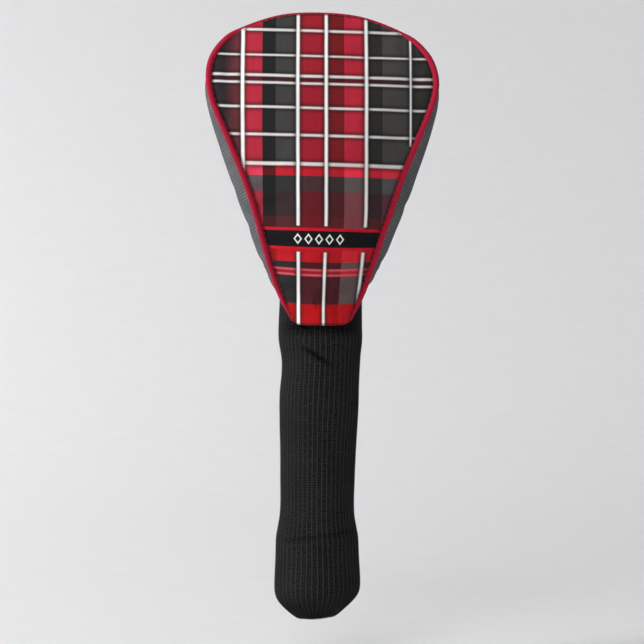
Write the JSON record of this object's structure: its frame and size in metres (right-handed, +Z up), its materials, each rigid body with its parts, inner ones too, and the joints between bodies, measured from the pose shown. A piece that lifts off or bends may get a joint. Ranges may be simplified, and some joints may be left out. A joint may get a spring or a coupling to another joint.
{
  "type": "driver head cover",
  "caption": "Padded, piped cover with a plaid front and a knitted sock that protects a golf driver's head and shaft.",
  "frame": {"origin": "centre of the sock's mouth, where the club goes in", "axes": "+Z up from the sock to the shell, -Y out of the printed front panel, +X to the right of a viewer who faces that panel"},
  "size_m": [0.1334, 0.0952, 0.3399],
  "materials": {
    "printed_cloth": "matte",
    "black_cloth": "matte",
    "foam": "matte",
    "lining": "matte",
    "piping": "satin",
    "piping_cord": "matte",
    "knit": "matte",
    "elastic": "matte"
  },
  "bodies": {
    "shell": {"front_panel": "printed_cloth", "front_foam": "foam", "front_lining": "lining", "back_panel": "black_cloth", "back_foam": "foam", "back_lining": "lining", "gusset_panel": "black_cloth", "gusset_foam": "foam", "gusset_lining": "lining", "front_piping_cover": "piping", "front_piping_cord": "piping_cord", "back_piping_cover": "piping", "back_piping_cord": "piping_cord", "sock_top": "knit"},
    "neck_band": {"neck_knit_upper": "knit", "neck_band_knit": "knit", "neck_elastic": "elastic"},
    "sock": {"neck_knit_lower": "knit", "sock_middle": "knit"},
    "cuff": {"sock_gather": "knit", "cuff_outer": "knit", "cuff_inner": "knit"}
  },
  "joints": [
    {"name": "neck_bend_fore_aft", "type": "hinge", "parent": "shell", "child": "neck_band", "pos_m": [0, 0, 0.1552], "axis": [1, 0, 0], "range_deg": [-20, 20], "deforming": ["neck_knit_upper"]},
    {"name": "neck_bend_sideways", "type": "hinge", "parent": "neck_band", "child": "sock", "pos_m": [0, 0, 0.1315], "axis": [0, 1, 0], "range_deg": [-20, 20], "deforming": ["neck_knit_lower"]},
    {"name": "cuff_gather", "type": "slide", "parent": "sock", "child": "cuff", "axis": [0, 0, 1], "range_m": [-0.014, 0.02], "stiffness_N_per_m": 200, "deforming": ["sock_gather"]}
  ]
}
